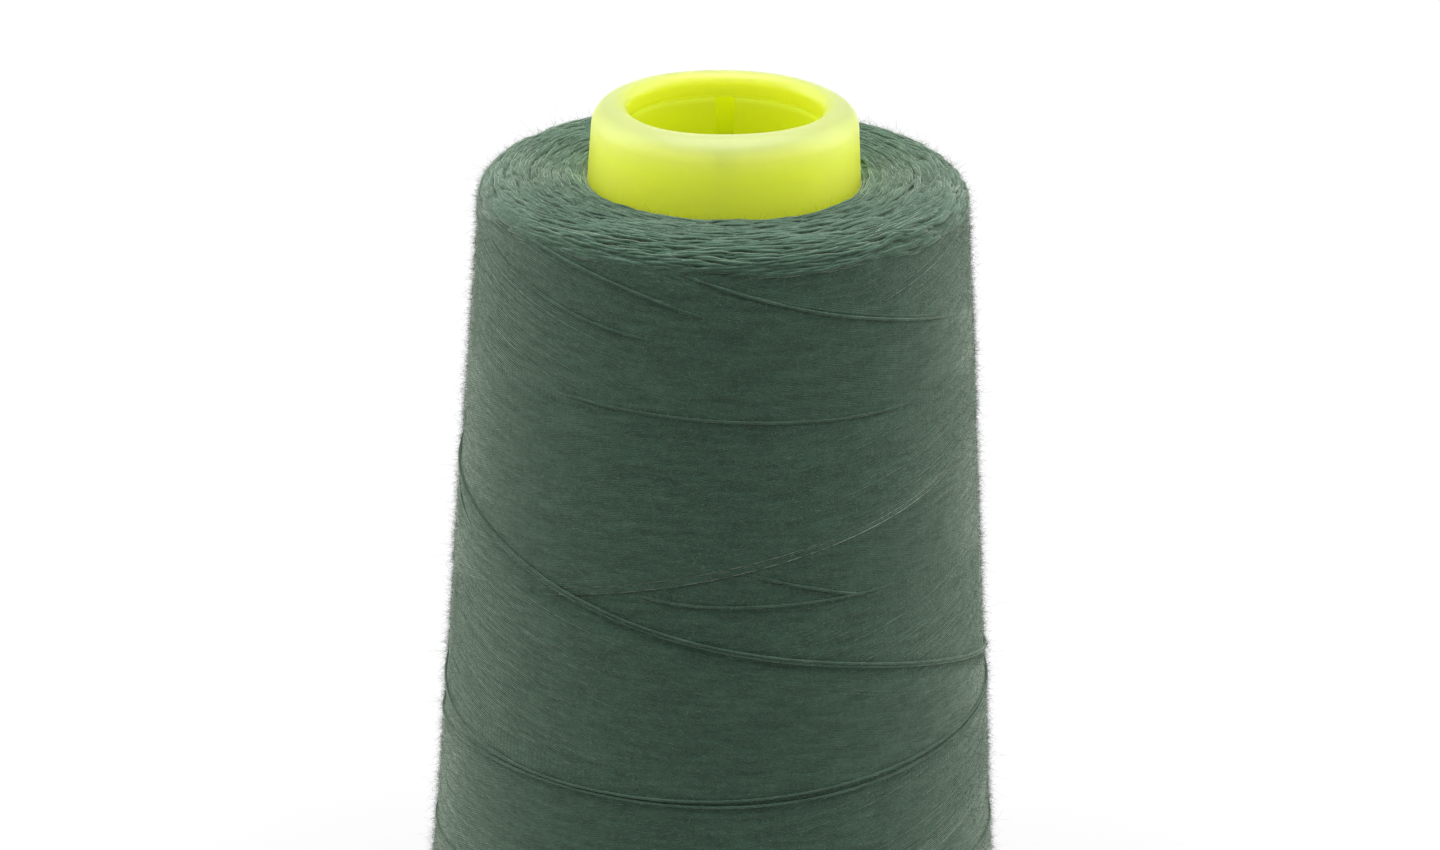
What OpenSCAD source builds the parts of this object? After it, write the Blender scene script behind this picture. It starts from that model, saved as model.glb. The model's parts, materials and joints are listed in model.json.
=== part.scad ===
// Cone of sewing thread: a tapered plastic core with a rounded collar and a rolled foot,
// a cross-wound package of thread on it, and the outermost turns as one unbroken strand.
// Millimetres, +Z up. The origin is the centre of the foot, on the surface that it stands on.

/* [Core] */
// Height of the collar above the thread
collar_show = 8; // [5.5:0.5:12]
// Radius of the outer edge of the collar's rim
rim_outer_round = 2.6; // [1:0.1:3]
// Radius of the inner edge of the collar's rim
rim_inner_round = 1.1; // [0.4:0.1:1.2]
// Radius of the spindle bore inside the collar
bore_r = 10.2; // [8:0.1:12]
// Thickness of the collar round the bore, where it leaves the thread
collar_t = 4.1; // [3.3:0.05:5]
// Depth of the plain lip of the bore, from the crest of the rim to the parting groove
lip_depth = 2.3; // [1.3:0.1:3]
// Height of the parting groove
groove_h = 0.3; // [0.2:0.05:0.5]
// Depth of the parting groove
groove_t = 0.2; // [0.1:0.05:0.4]
// Length of the bore below the parting groove
bore_len = 9; // [6:0.5:12]
// Number of key slots in the bore
slot_count = 4; // [2:1:6]
// Width of a key slot
slot_w = 1.7; // [1:0.1:2.5]
// Depth of a key slot
slot_t = 0.5; // [0.2:0.1:0.8]
// Thickness of the tapered wall
wall = 1.8; // [1.2:0.1:2.4]
// Taper of the core, in degrees from its axis
taper = 3.5; // [2:0.25:5]
// Height of the core below the thread
foot_show = 7; // [5:0.5:10]
// How far the rolled rim of the foot stands out
foot_rim = 1.6; // [0.8:0.1:2.5]
// Height of the rolled rim of the foot
foot_rim_h = 3; // [2:0.1:4]
// Radius of the edges of the foot
foot_round = 0.6; // [0.3:0.05:0.8]

/* [Thread] */
// Height of the wound thread
package_h = 95; // [80:1:110]
// Thickness of the wound thread, measured level
package_t = 11.1; // [8:0.1:13]
// How far the end faces of the package rise from the core out to their corners
face_rise = 0.3; // [0:0.1:1]
// Rounding of the package's upper corner
top_round = 3; // [2:0.1:4]
// Rounding of the package's lower corner
base_round = 2.2; // [1:0.1:4]
// How far the tight thread presses into the surface under it
grip = 0.05; // [0.02:0.01:0.1]
// Thickness of the thread
strand_d = 0.25; // [0.2:0.01:0.35]
// Number of turns in the outermost layer
turns = 22; // [12:1:24]

/* [Hidden] */
lime = [0.84, 0.93, 0.22];
thread_green = [0.27, 0.36, 0.31];
deep_green = [0.22, 0.31, 0.26];

FACETS = 96;
LEAST_STEPS = 2;        // straight steps in the smallest rounded corner
STEPS_A_MM = 1.5;       // and in a larger one, for each millimetre of its radius
PAST = 1;               // how far a cut runs past the face that it opens
RINGS_A_TURN = 24;
STRAND_SIDES = 6;

slope = tan(taper);
collar_r = bore_r + collar_t;
// The rim's rounding, no larger than the tapered collar allows
rim_out = min(rim_outer_round, collar_t - rim_inner_round - collar_show * slope);
base_z = foot_show;                        // lower end of the thread
top_z = base_z + package_h;                // upper end of the thread
crest_z = top_z + collar_show;             // crest of the collar
groove_z = crest_z - lip_depth - groove_h; // lower edge of the parting groove
bore_end_z = groove_z - bore_len;          // where the bore opens into the hollow cone
strand_r = strand_d / 2;

// Radius of the tapered wall outside and inside at a height
function core_r(z) = collar_r + (top_z - z) * slope;
function hollow_r(z) = core_r(z) - wall;

// Points of an arc from one angle to another
function arc(centre, r, from, to) =
    let (steps = max(LEAST_STEPS, round(STEPS_A_MM * r)))
    [for (i = [0:steps]) let (a = from + (to - from) * i / steps) centre + r * [cos(a), sin(a)]];
function end_of(list) = list[len(list) - 1];

// Outline of the package in the half plane [radius, height], from the core out over the lower
// face, up the side and in over the upper face to the core again. Both faces rise outwards.
face_tilt = atan(face_rise / package_t);
low_centre = corner_centre(package_t, base_z + base_round, base_round);
high_centre = corner_centre(package_t, top_z + face_rise - top_round, top_round);
low_arc = arc(low_centre, base_round, -90 + face_tilt, taper);
high_arc = arc(high_centre, top_round, taper, 90 + face_tilt);
package_outline = concat(
    [on_face(low_arc[0], core_r(base_z) - grip)], low_arc,
    high_arc, [on_face(end_of(high_arc), collar_r - grip)]);

// Centre of a corner's arc that touches a side parallel to the core's, and the point of a face
// at another radius
function corner_centre(out, z, r) = [core_r(z) + out - r / cos(taper), z];
function on_face(p, r) = [r, p[1] - (p[0] - r) * tan(face_tilt)];

// Lengths along a list of points, from its start to each point
function running(p, i = 0, sum = 0) =
    i == len(p) - 1 ? [sum] : concat([sum], running(p, i + 1, sum + norm(p[i + 1] - p[i])));
// Number of the leg that holds a length along the list
function leg(run, s, i = 0) = (i >= len(run) - 2 || s < run[i + 1]) ? i : leg(run, s, i + 1);
function unit(v) = v / norm(v);

// ---- Core ----

module core_section() {
    difference() {
        polygon(concat(
            // crest of the rim, outwards and down to the foot
            arc(corner_centre(0, crest_z - rim_out, rim_out), rim_out, 90, taper),
            [[core_r(foot_rim_h), foot_rim_h]],
            arc([core_r(0) + foot_rim - foot_round, foot_rim_h - foot_round], foot_round, 90, 0),
            arc([core_r(0) + foot_rim - foot_round, foot_round], foot_round, 0, -90),
            // under the foot and up the inside
            [[hollow_r(0), 0], [hollow_r(bore_end_z - wall), bore_end_z - wall],
             [bore_r, bore_end_z]],
            arc([bore_r + rim_inner_round, crest_z - rim_inner_round], rim_inner_round, 180, 90)));
        translate([bore_r - PAST, groove_z]) square([PAST + groove_t, groove_h]);
    }
}

module core() {
    color(lime) difference() {
        rotate_extrude($fn = FACETS) core_section();
        for (i = [0:slot_count - 1])
            rotate([0, 0, 90 + i * 360 / slot_count])
                translate([bore_r - PAST, -slot_w / 2, bore_end_z - PAST])
                    cube([PAST + slot_t, slot_w, bore_len + PAST]);
    }
}

// ---- Thread ----

module thread_package() {
    color(thread_green) rotate_extrude($fn = FACETS) polygon(package_outline);
}

// The strand rides on the outline. Its chords would cut into a round package, so each ring stands
// out by the chord's rise, and the chords' middles lie half sunk in the turns under them.
run = running(package_outline);
start_gap = 3 * strand_d;   // from the core to the first and the last turn
reach = end_of(run) - 2 * start_gap;
ring_count = turns * RINGS_A_TURN;

function ring_data(i) =
    let (s = start_gap + reach * i / ring_count,
         k = leg(run, s),
         dir = unit(package_outline[k + 1] - package_outline[k]),
         out = [dir[1], -dir[0]],
         flat = package_outline[k] + (s - run[k]) * dir,
         rise = flat[0] * (1 - cos(180 / RINGS_A_TURN)) * abs(out[0]) + strand_d / 4,
         p = flat + rise * out,
         a = 360 * i / RINGS_A_TURN)
    [[p[0] * cos(a), p[0] * sin(a), p[1]], [out[0] * cos(a), out[0] * sin(a), out[1]]];

wound = [for (i = [0:ring_count]) ring_data(i)];
// Each end turns square into the package and runs straight for one diameter
centres = concat(
    [wound[0][0] - wound[0][1] * strand_d],
    [for (w = wound) w[0]],
    [wound[ring_count][0] - wound[ring_count][1] * strand_d]);
outs = concat([wound[0][1]], [for (w = wound) w[1]], [wound[ring_count][1]]);
last = len(centres) - 1;

function along(i) =
    i == 0 ? outs[0]
    : i == last ? -outs[last]
    : unit(unit(centres[i + 1] - centres[i]) + unit(centres[i] - centres[i - 1]));
// The direction that stays on the outer side of the strand, also round the bends at its ends
function outer(i) =
    i == 0 ? -unit(centres[2] - centres[1])
    : i == last ? unit(centres[last - 1] - centres[last - 2])
    : outs[i] - (i == 1 ? unit(centres[2] - centres[1]) : [0, 0, 0])
        + (i == last - 1 ? unit(centres[last - 1] - centres[last - 2]) : [0, 0, 0]);

function ring(i) =
    let (t = along(i), n = unit(outer(i) - (outer(i) * t) * t), b = cross(t, n))
    [for (k = [0:STRAND_SIDES - 1]) let (a = 360 * k / STRAND_SIDES)
        centres[i] + strand_r * (cos(a) * n + sin(a) * b)];

module outer_thread() {
    points = [for (i = [0:last]) each ring(i)];
    sides = [for (i = [0:last - 1], k = [0:STRAND_SIDES - 1])
        let (a = i * STRAND_SIDES + k,
             b = i * STRAND_SIDES + (k + 1) % STRAND_SIDES)
        each [[a, b, b + STRAND_SIDES], [a, b + STRAND_SIDES, a + STRAND_SIDES]]];
    start_cap = [for (k = [1:STRAND_SIDES - 2]) [0, k + 1, k]];
    end_at = last * STRAND_SIDES;
    end_cap = [for (k = [1:STRAND_SIDES - 2]) [end_at, end_at + k, end_at + k + 1]];
    color(deep_green) polyhedron(points, concat(sides, start_cap, end_cap), convexity = 10);
}

// Least gap between the strand's turns, measured between its rings half a turn apart or more
gaps = [for (i = [1:last - 1 - RINGS_A_TURN / 2])
    min([for (j = [i + RINGS_A_TURN / 2:min(last - 1, i + 2 * RINGS_A_TURN)])
        norm(centres[i] - centres[j])]) - strand_d];
echo(least_gap_mm = min(gaps));

core();
thread_package();
outer_thread();
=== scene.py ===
import json
import math

import bpy
import numpy as np
from mathutils import Matrix, Vector


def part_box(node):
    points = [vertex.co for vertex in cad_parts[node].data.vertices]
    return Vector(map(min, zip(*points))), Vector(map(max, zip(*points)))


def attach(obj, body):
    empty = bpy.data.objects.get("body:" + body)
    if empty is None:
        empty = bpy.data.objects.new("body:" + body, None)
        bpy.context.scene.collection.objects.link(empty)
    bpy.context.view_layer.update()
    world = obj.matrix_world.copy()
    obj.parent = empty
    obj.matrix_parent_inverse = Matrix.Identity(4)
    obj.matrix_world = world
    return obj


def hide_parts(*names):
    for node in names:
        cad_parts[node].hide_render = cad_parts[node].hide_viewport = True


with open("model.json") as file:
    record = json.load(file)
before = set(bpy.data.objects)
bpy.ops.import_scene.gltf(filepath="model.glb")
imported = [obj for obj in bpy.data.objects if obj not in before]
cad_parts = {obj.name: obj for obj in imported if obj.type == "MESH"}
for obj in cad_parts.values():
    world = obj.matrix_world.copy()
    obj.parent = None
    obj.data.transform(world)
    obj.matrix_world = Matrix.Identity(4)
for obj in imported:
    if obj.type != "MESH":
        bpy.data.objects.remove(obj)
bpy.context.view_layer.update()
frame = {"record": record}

# The spool's looks: the lime core, the cross-wound thread as real strands, and its fluff.
# Lengths are in millimetres until a mesh or a light is made; angles are in degrees.
MM = 0.001
rng = np.random.default_rng(41)

# ---- Sizes, from the frame ----

core_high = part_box("core")[1]
package_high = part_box("thread_package")[1]
bore = next(m for m in frame["record"]["mounts"] if m["name"] == "spindle_bore")
CREST = core_high.z / MM
BORE_R = bore["dims"]["r_mm"]
BORE_END = bore["pos_m"][2] / MM - bore["dims"]["length_mm"] / 2

# Sizes that the frame doesn't say, as in the construction
TAPER = 3.5
COLLAR_R = 14.3              # where it leaves the thread
RIM_OUTER = 2.5              # as far as the tapered collar allows
RIM_INNER = 1.1
LIP_DEPTH = 2.3
GROOVE_H = 0.3
GROOVE_T = 0.2
SLOT_COUNT = 4
SLOT_W = 1.7
SLOT_T = 0.5
WALL = 1.8
FOOT_RIM = 1.6
FOOT_RIM_H = 3.0
FOOT_ROUND = 0.6
BASE_Z = 7.0                 # lower end of the thread
PACKAGE_T = 11.1
FACE_RISE = 0.3
TOP_ROUND = 3.0
BASE_ROUND = 2.2
THREAD_D = 0.25

SLOPE = math.tan(math.radians(TAPER))
TOP_Z = package_high.z / MM - FACE_RISE
GROOVE_Z = CREST - LIP_DEPTH - GROOVE_H


def core_r(z):
    """Outer radius of the core's tapered wall at a height."""
    return COLLAR_R + (TOP_Z - z) * SLOPE


# ---- Camera ----

CAMERA_DISTANCE = 700.0
CAMERA_RISE = 19.99          # how far the camera looks down
CAMERA_ROLL = 0.96
AIM_Z = 74.33                # height of the point that it looks at
PHOTO_W = 1440               # pixels
FOCAL_PIXELS = 6608          # focal length in pixels of the photo
SENSOR = 36.0


def add_camera():
    """The photo's camera."""
    rise, roll = math.radians(CAMERA_RISE), math.radians(CAMERA_ROLL)
    forward = Vector((0, math.cos(rise), -math.sin(rise)))
    level = Vector((1, 0, 0))
    up = level.cross(forward)
    right = level * math.cos(roll) + up * math.sin(roll)
    up = up * math.cos(roll) - level * math.sin(roll)
    data = bpy.data.cameras.new("camera")
    data.sensor_width = SENSOR
    data.lens = SENSOR * FOCAL_PIXELS / PHOTO_W
    camera = bpy.data.objects.new("camera", data)
    place = (Vector((0, 0, AIM_Z)) - forward * CAMERA_DISTANCE) * MM
    axes = Matrix((right, up, -forward)).transposed().to_4x4()
    camera.matrix_world = Matrix.Translation(place) @ axes
    bpy.context.scene.collection.objects.link(camera)
    bpy.context.scene.camera = camera


# ---- Node helpers ----

def new_material(name):
    """A material without nodes, and its node tree."""
    material = bpy.data.materials.new(name)
    material.use_nodes = True
    material.node_tree.nodes.clear()
    return material, material.node_tree


def add(tree, kind, inputs=None, **settings):
    """A new node. Inputs are values, or the outputs that are linked to them."""
    node = tree.nodes.new(kind)
    for key, value in settings.items():
        setattr(node, key, value)
    for key, value in (inputs or {}).items():
        if isinstance(value, bpy.types.NodeSocket):
            tree.links.new(value, node.inputs[key])
        else:
            node.inputs[key].default_value = value
    return node


def maths(tree, operation, *values):
    inputs = dict(enumerate(values))
    return add(tree, "ShaderNodeMath", inputs, operation=operation).outputs[0]


def noise(tree, where, scale, detail):
    inputs = {"Vector": where, "Scale": scale, "Detail": detail}
    return add(tree, "ShaderNodeTexNoise", inputs).outputs[0]


def map_range(tree, value, start, end, low=0.0, high=1.0):
    """low where the value is at start, high where it is at end."""
    inputs = {0: value, 1: start, 2: end, 3: low, 4: high}
    return add(tree, "ShaderNodeMapRange", inputs).outputs[0]


def mix(tree, share, first, second):
    inputs = {0: share, 6: first, 7: second}
    return add(tree, "ShaderNodeMix", inputs, data_type="RGBA").outputs[2]


def colour(r, g, b):
    """A colour written as it looks on a screen, 0 to 255, in the linear values of shaders."""
    linear = [(c / 255 / 12.92) if c <= 10 else ((c / 255 + 0.055) / 1.055) ** 2.4
              for c in (r, g, b)]
    return (*linear, 1.0)


def ramp(tree, value, stops):
    """stops are places from 0 to 1 with colours as colour() takes them."""
    node = add(tree, "ShaderNodeValToRGB", {0: value})
    elements = node.color_ramp.elements
    while len(elements) < len(stops):
        elements.new(0.5)
    for element, (position, shown) in zip(elements, stops):
        element.position = position
        element.color = colour(*shown)
    return node.outputs[0]


def seen(tree):
    """1 for the camera's rays and those that gloss or glass sends on, 0 for light on things."""
    path = add(tree, "ShaderNodeLightPath")
    direct = maths(tree, "MAXIMUM", path.outputs["Is Camera Ray"], path.outputs["Is Glossy Ray"])
    return maths(tree, "MAXIMUM", direct, path.outputs["Is Transmission Ray"])


# ---- Materials ----

# Colours up the collar, from 0 at the thread to 1 at the crest. They hold painted light:
# a painted pale highlight towards the crest, darker there to hold down the lamps' light, and
# brighter low down against the thread's shade
OUTER_PAINTED_LIGHT_COLOURS = [(0.1, (227, 255, 50)), (0.55, (206, 230, 50)), (0.85, (176, 190, 87)),
                 (1.0, (146, 157, 90))]
# In the bore: a painted glow, deeper and more saturated, of light that passes through the wall
# and bounces there
INNER_PAINTED_GLOW_COLOURS = [(0.2, (202, 224, 20)), (0.9, (156, 168, 28))]
# The slots' colour, deeper and darker than the bore's: painted shade
SLOT_PAINTED_SHADE = colour(182, 208, 4)
INNER_FADE = 1.6             # width over which the outer colours turn into the inner ones
SLOT_FADE = 0.2              # depth over which the bore's colour turns into the slots'


def plastic_material():
    """Lime polypropylene that light passes into, coloured with painted light: a painted pale
    highlight round the rim, a painted deeper glow in the bore and painted shade in the slots.
    """
    material, tree = new_material("lime_plastic")
    where = add(tree, "ShaderNodeTexCoord").outputs["Object"]
    x, y, z = add(tree, "ShaderNodeSeparateXYZ", {0: where}).outputs
    across = maths(tree, "SQRT", maths(tree, "ADD", maths(tree, "POWER", x, 2.0),
                                       maths(tree, "POWER", y, 2.0)))
    height = map_range(tree, z, TOP_Z * MM, CREST * MM)
    mixed = maths(tree, "MULTIPLY_ADD", noise(tree, where, 90.0, 3.0), 0.1, height)
    # Where the bore's painted glow takes over from the outer colours
    painted_glow_share = map_range(tree, across, (BORE_R + INNER_FADE) * MM, BORE_R * MM)
    skin = mix(tree, painted_glow_share, ramp(tree, mixed, OUTER_PAINTED_LIGHT_COLOURS), ramp(tree, mixed, INNER_PAINTED_GLOW_COLOURS))
    # The slots are painted a deeper, darker colour: painted shade in them and on their sides
    painted_slot_shade = map_range(tree, across, BORE_R * MM, (BORE_R + SLOT_FADE) * MM)
    in_bore = maths(tree, "MULTIPLY", maths(tree, "LESS_THAN", z, GROOVE_Z * MM),
                    maths(tree, "LESS_THAN", across, (BORE_R + 2 * SLOT_T) * MM))
    # The collar's colour with its painted highlight, painted glow and painted slot shade
    painted_light_tint = mix(tree, maths(tree, "MULTIPLY", painted_slot_shade, in_bore), skin, SLOT_PAINTED_SHADE)
    relief = maths(tree, "MULTIPLY_ADD", noise(tree, where, 220.0, 1.0), 3.0,
                   noise(tree, where, 2600.0, 2.0))
    bump = add(tree, "ShaderNodeBump", {"Height": relief, "Strength": 0.18, "Distance": 0.00004})
    smears = noise(tree, where, 160.0, 4.0)
    shader = add(tree, "ShaderNodeBsdfPrincipled", {
        "Base Color": painted_light_tint, "Roughness": map_range(tree, smears, 0.0, 1.0, 0.36, 0.48),
        "Normal": bump.outputs[0], "IOR": 1.49, "Subsurface Weight": 1.0,
        "Subsurface Scale": 0.03, "Subsurface Radius": (1.0, 1.0, 0.4)})
    add(tree, "ShaderNodeOutputMaterial", {"Surface": shader.outputs[0]})
    return material


THREAD_COLOURS = [(0.3, (46, 68, 55)), (0.7, (74, 103, 86))]
GRAIN_STRETCH = (0.16, 0.16, 1.0)    # draws the grain out level, much as the strands lie


def thread_material():
    """Spun polyester: plies round each strand, woolly grain and a dull sheen."""
    material, tree = new_material("spun_thread")
    where = add(tree, "ShaderNodeTexCoord").outputs["Object"]
    along = add(tree, "ShaderNodeUVMap", uv_map="strand").outputs[0]
    # Each strand's tone, with painted light on the buried layers and painted shade on the strands
    # on top
    shade = add(tree, "ShaderNodeAttribute", attribute_name="shade").outputs["Fac"]
    drawn = add(tree, "ShaderNodeVectorMath", {0: where, 1: GRAIN_STRETCH}, operation="MULTIPLY")
    felt = noise(tree, where, 1500.0, 1.0)
    grain = noise(tree, drawn.outputs[0], 1600.0, 2.0)
    mixed = maths(tree, "MULTIPLY_ADD", felt, 0.25, maths(tree, "MULTIPLY", shade, 0.25))
    mixed = maths(tree, "MULTIPLY_ADD", grain, 0.5, mixed)
    waves = {"Vector": along, "Scale": 1.0, "Distortion": 1.5, "Detail": 1.0}
    plies = add(tree, "ShaderNodeTexWave", waves, bands_direction="DIAGONAL").outputs["Fac"]
    relief = maths(tree, "MULTIPLY_ADD", felt, 3.0, maths(tree, "MULTIPLY", plies, 0.5))
    relief = maths(tree, "MULTIPLY_ADD", grain, 14.0, relief)
    bump = add(tree, "ShaderNodeBump", {"Height": relief, "Strength": 0.5, "Distance": 0.00003})
    shader = add(tree, "ShaderNodeBsdfPrincipled", {
        "Base Color": ramp(tree, mixed, THREAD_COLOURS), "Roughness": 0.9,
        "Normal": bump.outputs[0], "Specular IOR Level": 0.2, "Sheen Weight": 0.9,
        "Sheen Roughness": 0.4, "Sheen Tint": (0.88, 1.0, 0.83, 1)})
    add(tree, "ShaderNodeOutputMaterial", {"Surface": shader.outputs[0]})
    return material


FLUFF_COLOURS = [(0.2, (52, 76, 62)), (0.8, (80, 104, 85))]


def fluff_material():
    """Loose fibres, a little paler than the thread."""
    material, tree = new_material("thread_fluff")
    where = add(tree, "ShaderNodeTexCoord").outputs["Object"]
    shade = add(tree, "ShaderNodeAttribute", attribute_name="shade").outputs["Fac"]
    mixed = maths(tree, "MULTIPLY_ADD", noise(tree, where, 900.0, 1.0), 0.4,
                  maths(tree, "MULTIPLY", shade, 0.6))
    shader = add(tree, "ShaderNodeBsdfPrincipled", {
        "Base Color": ramp(tree, mixed, FLUFF_COLOURS), "Roughness": 0.8,
        "Specular IOR Level": 0.2, "Sheen Weight": 0.4, "Sheen Roughness": 0.5,
        "Sheen Tint": (0.95, 1.0, 0.85, 1)})
    add(tree, "ShaderNodeOutputMaterial", {"Surface": shader.outputs[0]})
    return material


# ---- Mesh helpers ----

def numbers(items, name, values):
    """Sets one property of all items of a mesh at once."""
    items.foreach_set(name, np.ascontiguousarray(values).ravel())


def add_uv(piece, name, uv):
    numbers(piece.data.uv_layers.new(name=name).data, "uv", uv.astype(np.float32))


def add_shade(piece, values):
    """How light each point is, from 0 to 1, for the materials: a tone that differs at random,
    with painted light on the buried layers and painted shade on the strands on top.
    """
    attribute = piece.data.attributes.new("shade", "FLOAT", "POINT")
    numbers(attribute.data, "value", values.astype(np.float32))


def unit(v):
    return v / np.maximum(np.linalg.norm(v, axis=-1, keepdims=True), 1e-9)


def make_mesh(name, points, faces, material):
    """faces is a list of integer arrays, each of faces with the same number of corners."""
    mesh = bpy.data.meshes.new(name)
    sizes = np.concatenate([np.full(len(f), f.shape[1], np.int32) for f in faces])
    starts = np.concatenate([[0], np.cumsum(sizes)[:-1]])
    corners = np.concatenate([f.ravel() for f in faces]).astype(np.int32)
    mesh.vertices.add(len(points))
    mesh.loops.add(len(corners))
    mesh.polygons.add(len(sizes))
    numbers(mesh.vertices, "co", (points * MM).astype(np.float32))
    numbers(mesh.loops, "vertex_index", corners)
    numbers(mesh.polygons, "loop_start", starts.astype(np.int32))
    mesh.update(calc_edges=True)
    numbers(mesh.polygons, "use_smooth", np.full(len(sizes), True))
    mesh.validate()
    mesh.materials.append(material)
    piece = bpy.data.objects.new(name, mesh)
    bpy.context.scene.collection.objects.link(piece)
    return piece


def ring_mesh(name, rings, material, corners):
    """A closed skin of rings of points. corners are the four of a face, each as steps to the
    next ring and to the next point."""
    count, columns = rings.shape[:2]
    index = np.arange(count * columns).reshape(count, columns)
    quads = np.stack([np.roll(index, (-ring, -point), (0, 1)) for ring, point in corners], -1)
    piece = make_mesh(name, rings.reshape(-1, 3), [quads.reshape(-1, 4)], material)
    ring_at = np.arange(count)[:, None] * np.ones(columns)
    point_at = np.ones(count)[:, None] * np.arange(columns)
    uv = np.stack([np.stack([(point_at + point) / columns, (ring_at + ring) / count], -1)
                   for ring, point in corners], 2).reshape(-1, 2)
    add_uv(piece, "OFBake", uv)
    return piece, uv


def tube_points(path, outward, radius, sides, thick, wide):
    """Rings of points round the strands of a batch."""
    angles = np.arange(sides) * 2 * np.pi / sides
    along = unit(np.gradient(path, axis=1))
    side = unit(outward - (outward * along).sum(-1, keepdims=True) * along)
    over = np.cross(along, side)
    ring = (thick * np.cos(angles)[:, None] * side[:, :, None]
            + wide * np.sin(angles)[:, None] * over[:, :, None])
    return (path[:, :, None] + radius[:, :, None, None] * ring).reshape(-1, 3)


def tube_faces(number, count, sides, base):
    """Faces round the strands of a batch, and the caps that close their ends."""
    around = np.arange(sides)
    following = (around + 1) % sides
    start = base + np.arange(number)[:, None, None] * count * sides
    first = start + np.arange(count - 1)[:, None] * sides
    quads = np.stack([first + around, first + following, first + following + sides,
                      first + around + sides], -1)
    caps = np.concatenate([start + around[::-1], start + (count - 1) * sides + around], 1)
    return quads.reshape(-1, 4), caps.reshape(-1, sides)


def strand_uv(path, sides):
    """Length along the strand, and share of the way round it."""
    number, count = path.shape[:2]
    legs = np.linalg.norm(np.diff(path, axis=1), axis=-1)
    length = np.concatenate([np.zeros((number, 1)), np.cumsum(legs, axis=1)], 1)
    u0, u1 = (np.repeat(u.ravel(), sides) for u in (length[:, :-1], length[:, 1:]))
    v0 = np.tile(np.arange(sides) / sides, number * (count - 1))
    v1 = v0 + 1 / sides
    return np.stack([u0, v0, u0, v1, u1, v1, u1, v0], -1).reshape(-1, 2)


def bake_uv(first, number, sides, across):
    """A square of its own in the bake's grid for each face of a number of rings."""
    at = first + np.arange(number)
    x0 = np.repeat(at % across, sides)
    y0 = np.repeat(at // across * sides, sides) + np.tile(np.arange(sides), number)
    return np.stack([x0, y0, x0, y0 + 1, x0 + 1, y0 + 1, x0 + 1, y0], -1).reshape(-1, 2)


def tubes(name, batches, sides, material, thick=1.0, wide=1.0):
    """One mesh of closed tubes. A batch holds strands with the same number of points, as their
    points, outward directions, radii and shades, with a row for each strand. Pressed strands
    are less thick than wide."""
    points, quads, caps, shades, strand, bake = [], [], [], [], [], []
    total = sum(path.shape[0] * (path.shape[1] - 1) for path, *_ in batches)
    across = math.ceil(math.sqrt(total * sides))
    rows = math.ceil(total / across) * sides + 1
    base, cell = 0, 0
    for path, outward, radius, shade in batches:
        number, count = path.shape[:2]
        rings = number * (count - 1)
        batch_quads, batch_caps = tube_faces(number, count, sides, base)
        points.append(tube_points(path, outward, radius, sides, thick, wide))
        quads.append(batch_quads)
        caps.append(batch_caps)
        shades.append(np.repeat(shade, count * sides))
        strand.append(strand_uv(path, sides))
        bake.append(bake_uv(cell, rings, sides, across))
        base += number * count * sides
        cell += rings
    quads, caps = np.concatenate(quads), np.concatenate(caps)
    piece = make_mesh(name, np.concatenate(points), [quads, caps], material)
    # The caps share one spot in the last row of the bake's grid
    spare = np.tile(np.array([[0.25, rows - 0.5]]), (caps.size, 1))
    add_uv(piece, "strand", np.concatenate([*strand, np.zeros((caps.size, 2))]))
    add_uv(piece, "OFBake", np.concatenate([*bake, spare]) / np.array([across, rows]))
    add_shade(piece, np.concatenate(shades))
    return piece


def batch(theta, s, height, radius, shade):
    """A batch of one strand, or of several when its numbers come in rows."""
    rows = np.broadcast_arrays(theta, s, height, radius)
    theta, s, height, radius = (np.atleast_2d(row) for row in rows)
    path, outward = on_package(theta, s, height)
    return path, outward, radius, np.broadcast_to(shade, len(theta))


# ---- The package's outline ----

OUTLINE_STEP = 0.1
ARC_POINTS = 40              # of each rounded corner


def outline_points():
    """Along the outline, from the core under the package, up its side and in over its top, at
    even steps: the way there, radius and height, and the outward direction. Also the way to
    each corner point: one at the core, those of both arcs, and one at the core again."""
    tilt = math.degrees(math.atan(FACE_RISE / PACKAGE_T))

    def rounded(z, r, start, end):
        centre = np.array([core_r(z) + PACKAGE_T - r / math.cos(math.radians(TAPER)), z])
        a = np.radians(np.linspace(start, end, ARC_POINTS))
        return centre + r * np.stack([np.cos(a), np.sin(a)], -1)

    low = rounded(BASE_Z + BASE_ROUND, BASE_ROUND, -90 + tilt, TAPER)
    high = rounded(TOP_Z + FACE_RISE - TOP_ROUND, TOP_ROUND, TAPER, 90 + tilt)
    lean = math.tan(math.radians(tilt))
    inner_low = [[core_r(BASE_Z), low[0][1] - (low[0][0] - core_r(BASE_Z)) * lean]]
    inner_high = [[COLLAR_R, high[-1][1] - (high[-1][0] - COLLAR_R) * lean]]
    corners = np.concatenate([inner_low, low, high, inner_high])
    legs = np.linalg.norm(np.diff(corners, axis=0), axis=1)
    run = np.concatenate([[0], np.cumsum(legs)])
    s = np.linspace(0, run[-1], int(run[-1] / OUTLINE_STEP) + 1)
    p = np.stack([np.interp(s, run, corners[:, 0]), np.interp(s, run, corners[:, 1])], -1)
    along = unit(np.gradient(p, axis=0))
    return s, p, np.stack([along[:, 1], -along[:, 0]], -1), run


OUT_S, OUT_P, OUT_N, OUT_RUN = outline_points()
SIDE_START = OUT_RUN[ARC_POINTS]      # where the side leaves the lower corner
SIDE_END = OUT_RUN[ARC_POINTS + 1]    # where it meets the upper corner
FACE_START = OUT_RUN[2 * ARC_POINTS]  # where the upper corner meets the top face
OUT_END = OUT_RUN[-1]


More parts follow.
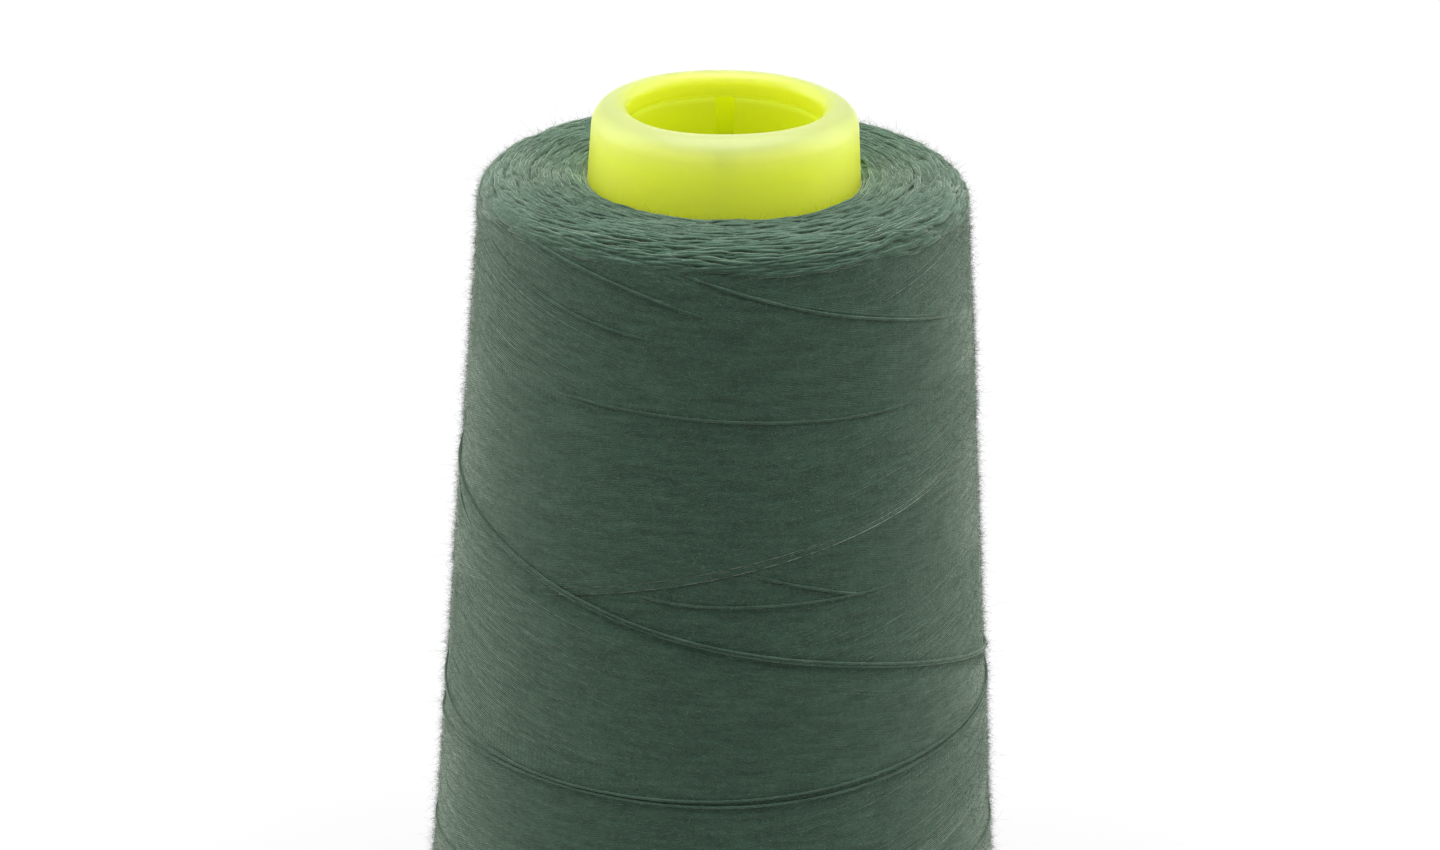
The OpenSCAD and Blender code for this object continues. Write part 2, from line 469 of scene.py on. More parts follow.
def on_package(theta, s, height):
    """Points and outward directions at angles, places along the outline and heights over it."""
    r = np.interp(s, OUT_S, OUT_P[:, 0])
    z = np.interp(s, OUT_S, OUT_P[:, 1])
    nr = np.interp(s, OUT_S, OUT_N[:, 0])
    nz = np.interp(s, OUT_S, OUT_N[:, 1])
    a = np.radians(theta)
    flat = r + height * nr
    return (np.stack([flat * np.cos(a), flat * np.sin(a), z + height * nz], -1),
            np.stack([nr * np.cos(a), nr * np.sin(a), nz], -1))


def outline_at(z):
    """The place along the outline of a height on the side."""
    return SIDE_START + (z - (BASE_Z + BASE_ROUND)) / math.cos(math.radians(TAPER))


# ---- How strands lie on each other ----

STEPS_A_TURN = 72            # points of a strand
CELL = 0.0625                # of the grids that hold where strands lie and how high
FINE = 6                     # cells of the grid to each step of a strand
TURN_CELLS = STEPS_A_TURN * FINE
REACH = 12                   # cells over which a tight strand bridges what it crosses
MEAN_R = 28.0                # of the package
SIDE_CELLS = 3               # half the width of a strand, less a little
COVER_CELLS = 2              # to either side, that a strand hides
TOP_LAYER = 0.055            # height of the last strands' middles over the outline
EMPTY = -9.0                 # height in a grid where no strand lies yet
SOFT = 0.05                  # how far a strand climbs its neighbour, of what a hard one would
MOST_CLIMB = 0.02            # how far its neighbours lift a strand at most

GRID_ROWS = int(OUT_END / CELL) + 8    # with a few to spare
# What a strand meets that runs down or up, and how high the outermost thread reaches
grids = np.full((2, GRID_ROWS, TURN_CELLS), EMPTY)
surface = np.full((GRID_ROWS, TURN_CELLS), TOP_LAYER)


def cells(theta, s):
    """Rows and columns in the grids of places on the package."""
    row = np.clip((s / CELL).round().astype(int), SIDE_CELLS, GRID_ROWS - 1 - SIDE_CELLS)
    return row, (theta / 360 * TURN_CELLS).round().astype(int) % TURN_CELLS


def finely(*values):
    """The values of a strand's steps at each cell that it crosses."""
    count = len(values[0])
    fine = np.linspace(0, count - 1, (count - 1) * FINE + 1)
    return [np.interp(fine, np.arange(count), v) for v in values]


def pulled_tight(rest):
    """Heights of a strand that bridges the dips between the places that it rests on."""
    spacing = 2 * np.pi * MEAN_R / TURN_CELLS
    padded = np.pad(rest, REACH, mode="edge")
    height = rest.copy()
    for k in range(-REACH, REACH + 1):
        sag = (k * spacing) ** 2 / (2 * MEAN_R)
        height = np.maximum(height, padded[REACH + k:REACH + k + len(rest)] - sag)
    return height


def cover(row, column, height):
    """Raises the surface to the outer side of a strand."""
    for shift in range(-COVER_CELLS, COVER_CELLS + 1):
        at = row + shift, column
        surface[at] = np.maximum(surface[at], height + THREAD_D / 2)


def lay(grid, theta, s, base):
    """Lays a strand beside or over its neighbours in a grid. Gives the height of its middle at
    each step."""
    theta, s, base = finely(theta, s, base)
    row, column = cells(theta, s)
    height = pulled_tight(np.clip(grid[row, column], base, base + MOST_CLIMB))
    for shift in range(-SIDE_CELLS, SIDE_CELLS + 1):
        climb = SOFT * math.sqrt(THREAD_D ** 2 - (shift * CELL) ** 2)
        at = row + shift, column
        grid[at] = np.maximum(grid[at], height + climb)
    cover(row, column, height)
    return height[::FINE]


def smooth_noise(count, width, size):
    """Slow random drift along a strand."""
    raw = rng.normal(0, 1, count + 4 * width)
    kernel = np.hanning(2 * width + 1)
    kernel /= kernel.sum()
    slow = np.convolve(np.convolve(raw, kernel, "same"), kernel, "same")
    slow = slow[2 * width:2 * width + count]
    return slow / slow.std() * size


def running_mean(values, width):
    """The values, each averaged with its neighbours. The first and last go on past the ends."""
    padded = np.pad(values, width, mode="edge")
    return np.convolve(padded, np.ones(width) / width, "same")[width:-width]


# ---- Winding ----

# The thread runs to the top and back in a hair over five turns, so each strand lies beside the
# strand before it, until after CYCLE runs there and back both directions cover the package.
TURNS_A_PASS = 2.5           # from one end to the other
CYCLE = 160
PASSES = 2 * CYCLE
PASS_STEPS = int(STEPS_A_TURN * TURNS_A_PASS)
REVERSAL = 90                # degrees that a strand takes to turn back
REVERSAL_PAST = 2.0          # how far past the ends of the side it turns back
LAST_REVERSAL = 237          # angle of the last reversal at the top
UNEVEN = 0.08                # spread of the reversals along the outline
MOST_UNEVEN = 0.3
UNEVEN_NEAR = 28             # degrees over which a reversal pulls its neighbourhood along
UNEVEN_FAR = 100             # degrees beyond which that has faded
WAVER = 0.012                # how unevenly a strand lies
STRAY = 0.08                 # how far a strand strays, in the few places where it does
STRAY_FROM = 1.9             # rarity of such places, in standard deviations
SINK = 0.3                   # how much deeper the first pass lies than the last ones
# The last downward and upward passes lie deeper one by one: how many, and how deep the very last
LAST_DOWN = (14, 0.3)
LAST_UP = (5, 0.1)


def winding_path():
    """One unbroken thread that runs up and down the package, as angles and places."""
    travel = SIDE_END - SIDE_START + 2 * REVERSAL_PAST
    cut = REVERSAL / 360 / TURNS_A_PASS / 4
    travel /= 1 - 2 * cut                      # the rounding of a reversal takes off this much
    middle = (SIDE_START + SIDE_END) / 2
    angles = np.arange(PASSES + 1) * (360 * TURNS_A_PASS + 180 / CYCLE)
    angles += LAST_REVERSAL - angles[-2] % 360 + 360
    places = middle + travel / 2 * np.where(np.arange(PASSES + 1) % 2, 1, -1)
    step = 360 / STEPS_A_TURN
    theta = np.arange(angles[0], angles[-1], step)
    s = np.interp(theta, angles, places)
    s = running_mean(running_mean(s, int(REVERSAL / step)), 5)
    shifts = np.clip(rng.normal(0, UNEVEN, PASSES + 1), -MOST_UNEVEN, MOST_UNEVEN)
    for angle, shift in zip(angles, shifts):
        first = max(0, int((angle - angles[0] - UNEVEN_FAR) / step))
        near = slice(first, int((angle - angles[0] + UNEVEN_FAR) / step))
        s[near] += shift * np.exp(-((theta[near] - angle) / UNEVEN_NEAR) ** 2)
    stray = smooth_noise(len(s), 24, 1.0)
    stray = np.sign(stray) * np.clip(np.abs(stray) - STRAY_FROM, 0, 1) * STRAY
    return theta, s + smooth_noise(len(s), 12, WAVER) + stray


def wind():
    """The thread's angles and places, and the heights at which it comes to lie."""
    theta, s = winding_path()
    rising = np.gradient(s) > 0
    turns = np.flatnonzero(np.diff(rising.astype(int))) + 1
    turns = [0, *turns, len(s)]
    base = TOP_LAYER - SINK * (1 - np.linspace(0, 1, len(s)))
    height = np.empty(len(s))
    for up, (number, depth) in ((False, LAST_DOWN), (True, LAST_UP)):
        starts = [start for start in turns[:-1] if rising[start] == up]
        for nth, start in enumerate(starts[-number:]):
            base[start:start + PASS_STEPS] -= depth * (nth + 1) / number
    for start, end in zip(turns[:-1], turns[1:]):
        if end - start < 2:
            height[start:end] = base[start:end]
            continue
        part = slice(start, end)
        height[part] = lay(grids[int(rising[start])], theta[part], s[part], base[part])
    return theta, s, running_mean(height, 3)


# ---- Strands on top ----

# Strands that lie on top of the others: how far over them, in millimetres from their outer side
# to the strand's middle, and the angle and height of points along each
RAISED = [
    (0.20, [(150, 73.5), (195, 69.6), (215, 67.0), (230, 64.8), (245, 62.8), (260, 61.0),
            (280, 59.0), (300, 57.2), (325, 54.4), (360, 50.0), (400, 45.5), (440, 41.0)]),
    (0.15, [(155, 72.8), (195, 69.3), (215, 66.7), (230, 64.5), (245, 62.5), (260, 60.7),
            (280, 58.7), (300, 56.9), (325, 54.1), (360, 49.7), (400, 44.8), (440, 40.0)]),
    (0.08, [(170, 70.0), (198, 66.6), (212, 64.2), (220, 63.0)]),
    (0.0, [(240, 66.2), (250, 65.0), (262, 64.3), (290, 64.4), (315, 64.6), (330, 65.5)]),
    (0.0, [(262, 69.6), (275, 68.0), (290, 66.0), (305, 64.0), (320, 62.5)]),
    (0.12, [(120, 40.6), (160, 41.4), (187, 42.1), (207, 42.9), (226, 43.0), (246, 42.8),
            (267, 42.6), (288, 42.9), (304, 43.6), (320, 44.4), (337, 45.6), (350, 46.0),
            (365, 46.2), (400, 46.0), (430, 45.4)]),
    (0.12, [(140, 49.5), (170, 47.0), (190, 45.4), (211, 44.0), (226, 43.3), (246, 43.2),
            (267, 43.2), (288, 43.7), (304, 44.4), (320, 45.1), (337, 46.1), (350, 46.5),
            (370, 47.0), (400, 48.0), (440, 49.5)]),
    (0.05, [(150, 29.0), (190, 29.7), (230, 30.2), (270, 30.4), (320, 30.5), (359, 30.5),
            (410, 30.2)]),
    (0.12, [(200, 101.2), (211, 100.8), (222, 100.0), (231, 99.2), (242, 98.2), (252, 97.0),
            (261, 95.8), (270, 94.4), (285, 92.6)]),
    (0.12, [(188, 99.2), (200, 97.7), (213, 96.2), (226, 94.5), (240, 93.1), (255, 92.2),
            (270, 91.5)]),
    (0.08, [(245, 101.0), (255, 100.2), (266, 98.7), (277, 97.3), (289, 95.5), (305, 93.8),
            (320, 92.2), (336, 90.6), (355, 89.0)]),
    (0.05, [(268, 97.9), (280, 96.4), (292, 94.8), (306, 93.3)]),
    (0.02, [(215, 85.2), (237, 84.9), (270, 84.2), (305, 83.5), (340, 83.9)]),
]
ENDS_DEEP = 0.9              # how deep the ends of these strands dive
ENDS_STEPS = 6               # over how many steps


def raised_strand(over, points):
    """Angles, places and heights of a strand that lies on top of the others."""
    corners = np.array(points, float)
    theta = np.arange(corners[0, 0], corners[-1, 0], 360 / STEPS_A_TURN)
    z = np.interp(theta, corners[:, 0], corners[:, 1])
    z = np.convolve(np.pad(z, 3, mode="edge"), np.ones(5) / 5, "same")[3:-3]
    s = outline_at(z)
    row, column = cells(*finely(theta, s))
    height = pulled_tight(surface[row, column] + over)
    cover(row, column, height)
    from_end = np.minimum(np.arange(len(theta)), np.arange(len(theta))[::-1])
    out = np.minimum(1, from_end / ENDS_STEPS)
    return theta, s, height[::FINE] - ENDS_DEEP * (1 - out) ** 2


# ---- Ends of the package ----

FACE_STEPS = 21              # points of an arc
HALF_ARC = (3.0, 6.0)        # half the length of an arc, shortest and longest
ARC_DIVE = 0.7               # how deep the ends of an arc dive
BUNCH = 2                    # strands that lie together where buried layers turn back
RING_STEP = 0.46             # between rings of bunches
FACE_LIFT = 0.02             # height of an arc's middle over the outline
APART = 0.25                 # between the strands of a bunch
SWAY = 0.11                  # how much that changes as they twist
RISE = 0.07                  # how much one rises over the other
TWIST = 3.2                  # length in which two strands pass over each other and back
# Random spreads. Round the package they are degrees at a radius of 1 mm.
BUNCH_SHIFT = 90
STRAND_SHIFT = 30
BUNCH_OFF = 0.12             # along the outline, of a whole bunch
BUNCH_SLANT = 0.14           # between its middle and its ends
BUNCH_WAVE = 0.07            # of its bends
STRAND_OFF = 0.03            # along the outline, of a single strand
BUNCH_LIFT = 0.06            # in height
STRAND_LIFT = 0.04
ANY_PHASE = 3                # radians, of the turns of a twist or a wave
STRAND_PHASE = 0.4
DIP = 0.6                    # how deep the face dips where it meets the core
DIP_REACH = 0.7              # how far from the core it does


def dip(s):
    """Height over the outline of a top face that dips towards the core."""
    return -DIP * np.exp(-((OUT_END - s) / DIP_REACH) ** 2)


def face_ring(s0, radius, around):
    """A ring of bunches of strands, as short flat arcs that rise over their neighbours and dive
    again. Gives their angles, places and heights."""
    count = around * BUNCH
    bunch = np.arange(count) // BUNCH
    place = (np.arange(count) % BUNCH - (BUNCH - 1) / 2)[:, None]

    def pick(size):
        """A random number for each bunch, the same for all its strands."""
        return rng.normal(0, size, around)[bunch][:, None]

    half_length = rng.uniform(*HALF_ARC, around)[bunch][:, None]
    half = np.degrees(half_length / radius)
    even = (rng.uniform(0, 360) + bunch * 360 / around)[:, None]
    centre = even + pick(BUNCH_SHIFT / radius)
    f = np.linspace(-1, 1, FACE_STEPS)[None]
    theta = centre + rng.normal(0, STRAND_SHIFT / radius, (count, 1)) + f * half
    twist = (2 * np.pi * f * half_length / TWIST + pick(ANY_PHASE)
             + rng.normal(0, STRAND_PHASE, (count, 1)))
    s = (s0 + pick(BUNCH_OFF) + pick(BUNCH_SLANT) * f + place * (APART + SWAY * np.sin(twist))
         + pick(BUNCH_WAVE) * np.sin(4 * f + pick(ANY_PHASE))
         + rng.normal(0, STRAND_OFF, (count, 1)))
    height = (FACE_LIFT + pick(BUNCH_LIFT) + place * RISE * np.cos(twist)
              - ARC_DIVE * np.abs(f) ** 3 + rng.normal(0, STRAND_LIFT, (count, 1)) + dip(s))
    return theta, s, height


LEAST_S = 0.15               # how near to the core a face's strands lie at most
SLACK = 1.45                 # how much fuller a strand is that isn't pulled tight
FACE_SHADES = (0.35, 0.75)


def face_strands(start, end, gap):
    """Where the buried layers turn back, ring by ring, with a gap between bunches."""
    batches = []
    rings = int(abs(end - start) / RING_STEP)
    for ring in range(rings + 1):
        s0 = end + (start - end) * ring / rings
        radius = np.interp(s0, OUT_S, OUT_P[:, 0])
        around = int(2 * np.pi * radius / gap)
        theta, s, height = face_ring(s0, radius, around)
        s = np.clip(s, LEAST_S, OUT_END - LEAST_S)
        shade = rng.uniform(*FACE_SHADES, around * BUNCH)
        batches.append(batch(theta, s, height, THREAD_D / 2 * SLACK, shade))
    return batches


# The turns that lie against the core at the top: start, distance from the core and height
INNERMOST = [(20, 0.14, 0.02), (200, 0.14, -0.1), (110, 0.36, 0.06), (300, 0.4, 0.0)]
INNERMOST_TURN = 400         # degrees that each runs round
INNERMOST_STEPS = 90
INNERMOST_DIVE = 0.5         # how deep its ends dive
INNERMOST_ENDS = 14          # over one part in how many of it they do
INNERMOST_OFF = 0.04         # how unevenly it lies along the outline
INNERMOST_LIFT = 0.05        # and in height
INNERMOST_SHADE = 0.6
LOOSE = 1.15                 # how much fuller a strand is that lies loose


def innermost():
    """Single turns round the collar, which fill the corner between it and the top face."""
    f = np.linspace(0, 1, INNERMOST_STEPS)
    out = np.minimum(1, np.minimum(f, 1 - f) * INNERMOST_ENDS)
    batches = []
    for start, off, height in INNERMOST:
        theta = start + INNERMOST_TURN * f
        s = OUT_END - off - np.abs(smooth_noise(INNERMOST_STEPS, 6, INNERMOST_OFF))
        height = height + dip(s) + smooth_noise(INNERMOST_STEPS, 5, INNERMOST_LIFT)
        batches.append(batch(theta, s, height - INNERMOST_DIVE * (1 - out),
                             THREAD_D / 2 * LOOSE, INNERMOST_SHADE))
    return batches


# ---- Pieces of thread ----

WINDING_PIECES = 4           # their ends lie where the thread turns at the bottom
TUBE_SIDES = 5
TOP_SIDES = 8
TIGHT = 1.14                 # how much fuller a wound strand is, before it is pressed
UNEVEN_SPUN = 0.05           # how much that changes along it
PRESSED = (0.7, 1.6)         # thickness and width of a strand in the side
FACE_PRESSED = (1.0, 1.1)    # and in the ends
WOUND_SHADE = 0.5
# The strands on top are a little darker than the wound ones: painted shade along their lines
TOP_PAINTED_SHADE = 0.45
# Where rings of bunches lie along the outline, from and to, and the gap between bunches
SHOULDER = (SIDE_END + 0.4, FACE_START, 4.8)
TOP_FACE = (FACE_START + 0.4, OUT_END - 0.45, 4.8)
BASE_FACE = (SIDE_START - 1.0, 0.3, 8.5)


def winding_pieces(material):
    """The outermost layers of thread, in a few lengths that follow on each other."""
    theta, s, height = wind()
    radius = THREAD_D / 2 * (TIGHT + smooth_noise(len(theta), 60, UNEVEN_SPUN))
    part = math.ceil(len(theta) / WINDING_PIECES)
    pieces = []
    for number, start in enumerate(range(0, len(theta) - 1, part)):
        cut = slice(start, start + part + 1)
        length = batch(theta[cut], s[cut], height[cut], radius[cut], WOUND_SHADE)
        pieces.append(tubes(f"winding_{number + 1}", [length], TUBE_SIDES, material, *PRESSED))
    return pieces


def thread_pieces(material):
    """The outermost layers, the strands on top and both ends of the package. The order in which
    they are made sets the random draws."""
    pieces = winding_pieces(material)
    radius = THREAD_D / 2 * LOOSE
    # The strands on top carry their painted shade
    raised = [batch(*raised_strand(*strand), radius, TOP_PAINTED_SHADE) for strand in RAISED]
    pieces.append(tubes("top_strands", raised, TOP_SIDES, material))
    shoulder = face_strands(*SHOULDER)
    face = face_strands(*TOP_FACE) + innermost()
    bottom = face_strands(*BASE_FACE)
    for name, strands in (("top_shoulder", shoulder), ("top_face", face), ("base_face", bottom)):
        pieces.append(tubes(name, strands, TUBE_SIDES, material, *FACE_PRESSED))
    return pieces


BODY_COLUMNS = 360
BODY_STEP = 0.5
BODY_DEEP = 0.62             # how deep the buried layers lie under the side
BODY_FACE_DEEP = 0.12        # and under the top face
BODY_RIPPLE = 0.05
# The buried layers are painted lighter than the strands over them: painted light in the shaded
# gaps between strands
BODY_PAINTED_LIGHT = 0.9
INNER_RINGS = 40             # rings of points on its inner side
INNER_GAP = 0.02             # between that and the core
INNER_TOP = TOP_Z - 1.5
INNER_BASE = BASE_Z + 0.8
TURNS_DOWN = 170             # how often the plies' pattern repeats on it, both ways


def package_body(material):
    """The buried layers: a closed ring of turns under the strands."""
    s = np.arange(0, OUT_END, BODY_STEP)
    theta = np.arange(BODY_COLUMNS) * 360 / BODY_COLUMNS
    depth = np.where(s < SIDE_END + 1, BODY_DEEP, BODY_FACE_DEEP)
    skin = []
    for at, deep in zip(s, depth):
        ripple = BODY_RIPPLE * np.sin(np.radians(theta * 90) + at * 9)
        skin.append(on_package(theta, np.full(BODY_COLUMNS, at), dip(at) - deep + ripple)[0])
    a = np.radians(theta)
    for z in np.linspace(INNER_TOP, INNER_BASE, INNER_RINGS):
        r = core_r(z) + INNER_GAP
        skin.append(np.stack([r * np.cos(a), r * np.sin(a), np.full(BODY_COLUMNS, z)], -1))
    outward = ((0, 0), (0, 1), (1, 1), (1, 0))
    piece, uv = ring_mesh("package_body", np.array(skin), material, outward)
    add_uv(piece, "strand", uv * TURNS_DOWN)
    # Painted light: the buried layers, seen in the gaps, are made lighter
    add_shade(piece, np.full(len(skin) * BODY_COLUMNS, BODY_PAINTED_LIGHT))
    return piece


# ---- Fluff ----

FLUFF_PIECES = 16
FLUFF_FROM = SIDE_START - 3  # the part of the outline that it covers
FLUFF_TO = OUT_END - 1.8
ROOT = 0.03                  # how deep a fibre starts in the thread
# Loose fibres: number in a piece, points, shortest and longest, least and most lift, and radius
STUBBLE = (9500, 2, 0.15, 0.6, 0.3, 1.0, 0.009)
FUZZ = (3000, 3, 0.3, 1.1, 0.2, 0.9, 0.009)
FLAT_FIBRES = (1800, 4, 0.5, 1.5, 0.0, 0.12, 0.009)
WISPS = (300, 7, 0.8, 2.2, 0.2, 0.7, 0.007)


def loose_fibres(number, points, shortest, longest, least_lift, most_lift, radius):
    """A batch of fibre ends that leave the thread and bend away."""
    s = rng.uniform(FLUFF_FROM, FLUFF_TO, number)
    theta = rng.uniform(0, 360, number)
    foot, outward = on_package(theta, s, surface[cells(theta, s)] - ROOT)
    length = rng.uniform(shortest ** 0.5, longest ** 0.5, number)[:, None, None] ** 2
    turn = rng.uniform(0, 2 * np.pi, number)[:, None]
    level_way = unit(np.cross(outward, [0, 0, 1.0]) + 1e-3)
    up_way = np.cross(outward, level_way)
    lift = rng.uniform(least_lift, most_lift, number)[:, None]
    flat_way = np.cos(turn) * level_way + 0.6 * np.sin(turn) * up_way
    way = unit(outward * lift + flat_way * (1.1 - lift))
    bend = unit(np.cross(way, rng.normal(0, 1, (number, 3))))
    bend = bend * rng.uniform(0.2, 0.9, number)[:, None]
    curl = np.cross(way, bend) * rng.uniform(-0.8, 0.8, number)[:, None]
    f = np.linspace(0, 1, points)[:, None]
    course = f * way[:, None] + f ** 2 * bend[:, None] + f ** 3 * curl[:, None]
    side = np.repeat(unit(np.cross(way, bend))[:, None], points, 1)
    taper = np.tile(np.linspace(radius, radius * 0.6, points), (number, 1))
    return foot[:, None] + length * course, side, taper, rng.uniform(0, 1, number)


def fluff(number, material):
    """One piece of fluff, spread all over the package."""
    batches = [loose_fibres(*kind) for kind in (STUBBLE, FUZZ, FLAT_FIBRES, WISPS)]
    return tubes(f"fluff_{number}", batches, 3, material)


# ---- Core ----

def arc(r, z, radius, start, end, steps):
    """Points on an arc round a radius and height, from one angle to another."""
    a = np.radians(np.linspace(start, end, steps))
    return [(r + radius * math.cos(x), z + radius * math.sin(x)) for x in a]


def between(r0, z0, r1, z1, steps):
    """Points on a straight line, without its ends."""
    return [(r0 + (r1 - r0) * f, z0 + (z1 - z0) * f) for f in np.linspace(0, 1, steps)[1:-1]]


def outer_profile():
    """Radius and height from the crest of the rim down the outside and round the rolled foot."""
    rim_r = core_r(CREST - RIM_OUTER)
    foot_edge = core_r(0) + FOOT_RIM - FOOT_ROUND
    profile = arc(rim_r - RIM_OUTER, CREST - RIM_OUTER, RIM_OUTER, 90, TAPER, 22)
    profile += between(rim_r, CREST - RIM_OUTER, COLLAR_R, TOP_Z, 8) + [(COLLAR_R, TOP_Z)]
    profile += between(COLLAR_R, TOP_Z, core_r(FOOT_RIM_H), FOOT_RIM_H, 30)
    profile += [(core_r(FOOT_RIM_H + 0.35), FOOT_RIM_H + 0.35),
                (core_r(FOOT_RIM_H) + 0.12, FOOT_RIM_H + 0.1),
                (core_r(FOOT_RIM_H) + 0.4, FOOT_RIM_H)]
    profile += arc(foot_edge, FOOT_RIM_H - FOOT_ROUND, FOOT_ROUND, 90, 0, 8)
    return profile + arc(foot_edge, FOOT_ROUND, FOOT_ROUND, 0, -90, 8)


def hollow_profile():
    """From under the foot up the hollow cone to the bore."""
    low = core_r(0) - WALL
    high = core_r(BORE_END - WALL) - WALL
    profile = [(low + 0.35, 0), (low + 0.1, 0.1), (low, 0.35)]
    profile += between(low, 0.35, high, BORE_END - WALL, 30) + [(high, BORE_END - WALL)]
    return profile + between(high, BORE_END - WALL, BORE_R, BORE_END, 5)


def bore_profile():
    """Up the bore and into the parting groove."""
    profile = [(BORE_R, BORE_END), (BORE_R, BORE_END + 0.1)]
    profile += between(BORE_R, BORE_END + 0.1, BORE_R, GROOVE_Z - 0.6, 16)
    return profile + [(BORE_R, GROOVE_Z - 0.6), (BORE_R + 0.05, GROOVE_Z - 0.35),
                      (BORE_R + 0.12, GROOVE_Z - 0.1), (BORE_R + GROOVE_T, GROOVE_Z + 0.15),
                      (BORE_R + 0.17, GROOVE_Z + GROOVE_H - 0.03)]


def lip_profile():
    """Out of the groove, up the plain lip and over the inner edge of the rim."""
    groove_top = GROOVE_Z + GROOVE_H
    profile = [(BORE_R + 0.04, groove_top), (BORE_R, groove_top + 0.06)]
    profile += between(BORE_R, groove_top, BORE_R, CREST - RIM_INNER, 6)
    return profile + arc(BORE_R + RIM_INNER, CREST - RIM_INNER, RIM_INNER, 180, 90, 12)


ROUND_SHARE = 0.8            # how much of the rim's wobble shows in its radius
SLOT_EDGE = 2.4              # degrees over which the side of a slot rounds in
EVEN_STEP = 2.0              # degrees between columns of the mesh, away from the slots
LEAST_STEP = 0.8             # from the columns at a slot to the next one
# Columns of the mesh round a slot, in halves of its width
SLOT_COLUMNS = np.array([-1.3, -1.15, -1.05, -0.95, -0.85, -0.7, -0.35, 0,
                         0.35, 0.7, 0.85, 0.95, 1.05, 1.15, 1.3])


def core_columns():
    """Angles of the mesh's columns, and how deep a slot is at each."""
    half = math.degrees(SLOT_W / 2 / BORE_R)
    slots = 90 + np.arange(SLOT_COUNT) * 360 / SLOT_COUNT

    def from_slot(angles):
        return np.abs((angles[:, None] - slots + 180) % 360 - 180).min(1)

    even = np.arange(0, 360, EVEN_STEP)
    free = even[from_slot(even) > half * SLOT_COLUMNS[-1] + LEAST_STEP]
    angles = np.concatenate([free] + [slot + half * SLOT_COLUMNS for slot in slots])
    angles = np.sort(angles % 360)
    cut = np.clip((half + SLOT_EDGE / 2 - from_slot(angles)) / SLOT_EDGE, 0, 1)
    return np.radians(angles), cut * cut * (3 - 2 * cut) * SLOT_T


def core_piece(material):
    """The core as one closed skin."""
    profile = outer_profile() + hollow_profile()
    bore_start = len(profile)
    profile += bore_profile()
    bore_stop = len(profile)
    profile += lip_profile()
    a, cut = core_columns()
    # The rim isn't quite round or level
    wobble = 0.05 * np.sin(2 * a + 0.6) + 0.04 * np.sin(3 * a + 2.0) + 0.02 * np.sin(5 * a)
    rings = []
    for k, (r, z) in enumerate(profile):
        in_bore = bore_start < k < bore_stop
        near_top = max(0.0, (z - TOP_Z) / (CREST - TOP_Z))
        radius = np.maximum(r, BORE_R + cut) if in_bore else r
        radius = radius + wobble * near_top * ROUND_SHARE
        height = np.full(len(a), z) - near_top ** 4 * wobble
        rings.append(np.stack([radius * np.cos(a), radius * np.sin(a), height], -1))
    outward = ((0, 0), (1, 0), (1, 1), (0, 1))
    return ring_mesh("core_moulding", np.array(rings), material, outward)[0]


# ---- Stage ----

FLOOR_HALF = 3.0             # half its width, in metres
FLOOR_GREYS = (0.355, 0.365)
NEAR_GLOW = 0.352            # the floor's own light by the object, as the camera sees it
FAR_GLOW = 0.455             # and far behind it
NEAR = 0.06                  # distances in metres from the middle where it has them
FAR = 0.4
WHITE_FROM = 1.6             # and from which the floor is white


def floor_material():
    """A plain pale floor. Its own light, for the camera alone, turns it white where it stands
    out of the light as well, and leaves the shadow."""
    material, tree = new_material("pale_floor")
    where = add(tree, "ShaderNodeTexCoord").outputs["Object"]
    grey = map_range(tree, noise(tree, where, 6.0, 3.0), 0.3, 0.7, *FLOOR_GREYS)
    matte = add(tree, "ShaderNodeBsdfDiffuse", {"Color": grey})
    away = add(tree, "ShaderNodeVectorMath", {0: where}, operation="LENGTH").outputs["Value"]
    behind = map_range(tree, away, NEAR, FAR, NEAR_GLOW, FAR_GLOW)
    beyond = map_range(tree, away, FAR, WHITE_FROM, 0.0, 1.0 - FAR_GLOW)
    strength = maths(tree, "MULTIPLY", seen(tree), maths(tree, "ADD", behind, beyond))
    glow = add(tree, "ShaderNodeEmission", {"Strength": strength})
    both = add(tree, "ShaderNodeAddShader", {0: matte.outputs[0], 1: glow.outputs[0]})
    add(tree, "ShaderNodeOutputMaterial", {"Surface": both.outputs[0]})
    return material


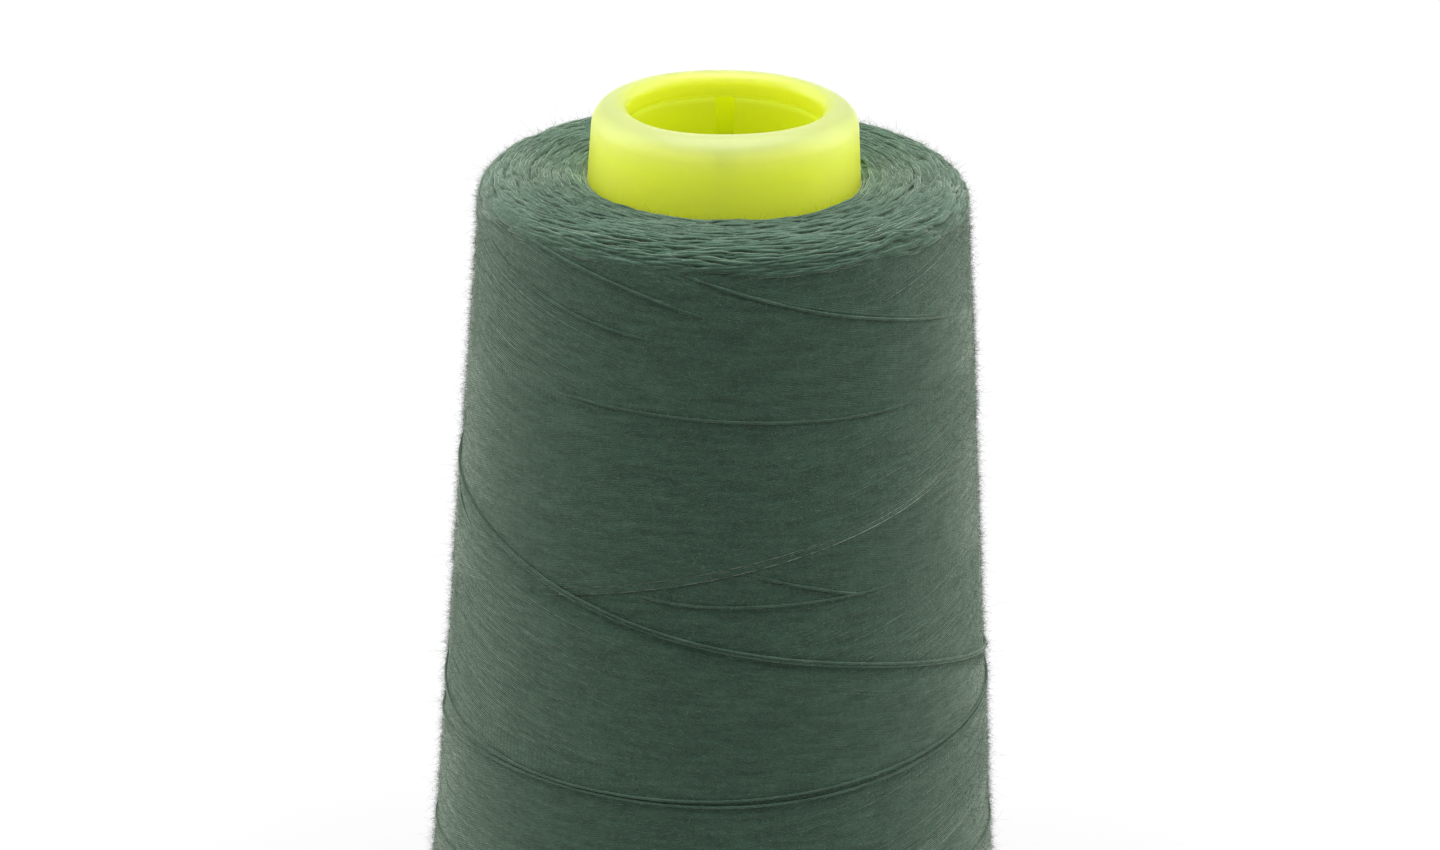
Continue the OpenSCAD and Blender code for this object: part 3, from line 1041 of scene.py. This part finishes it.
def add_floor():
    """The surface that the spool stands on."""
    half = FLOOR_HALF
    mesh = bpy.data.meshes.new("floor")
    mesh.from_pydata([(-half, -half, 0), (half, -half, 0), (half, half, 0), (-half, half, 0)], [],
                     [(0, 1, 2, 3)])
    mesh.materials.append(floor_material())
    floor = bpy.data.objects.new("floor", mesh)
    bpy.context.scene.collection.objects.link(floor)


WORLD_LIGHT = 0.33
# Soft boxes: place and size in metres, and power in watts
LAMPS = [
    ("left_box", (-0.75, 0.20, 0.35), (0.7, 0.9), 4.7),
    ("right_box", (0.75, 0.20, 0.35), (0.7, 0.9), 4.7),
    ("top_box", (0.0, -0.02, 0.85), (0.8, 0.8), 10.0),
]


def add_world():
    """An even light that shows as white."""
    world = bpy.data.worlds.new("studio")
    world.use_nodes = True
    bpy.context.scene.world = world
    tree = world.node_tree
    tree.nodes.clear()
    strength = map_range(tree, seen(tree), 0.0, 1.0, WORLD_LIGHT, 1.0)
    back = add(tree, "ShaderNodeBackground", {"Color": (1, 1, 1, 1), "Strength": strength})
    add(tree, "ShaderNodeOutputWorld", {"Surface": back.outputs[0]})


def add_lamps():
    """Soft boxes at both sides and over the spool, turned to its middle."""
    for name, place, size, power in LAMPS:
        data = bpy.data.lights.new(name, "AREA")
        data.shape = "RECTANGLE"
        data.size, data.size_y = size
        data.energy = power
        lamp = bpy.data.objects.new(name, data)
        lamp.location = place
        aim = Vector((0, 0, AIM_Z * MM)) - Vector(place)
        lamp.rotation_euler = aim.to_track_quat("-Z", "Y").to_euler()
        bpy.context.scene.collection.objects.link(lamp)


# ---- The scene ----

add_camera()
add_world()
add_lamps()
add_floor()
bpy.context.scene.view_settings.view_transform = "Standard"

thread = thread_material()
pieces = thread_pieces(thread)
body = package_body(thread)
loose = fluff_material()
hairs = [fluff(k + 1, loose) for k in range(FLUFF_PIECES)]
core = core_piece(plastic_material())

for piece in pieces + hairs + [body]:
    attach(piece, "root")
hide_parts("thread_package")
for piece in pieces:
    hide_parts("outer_thread")
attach(core, "root")
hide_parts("core")
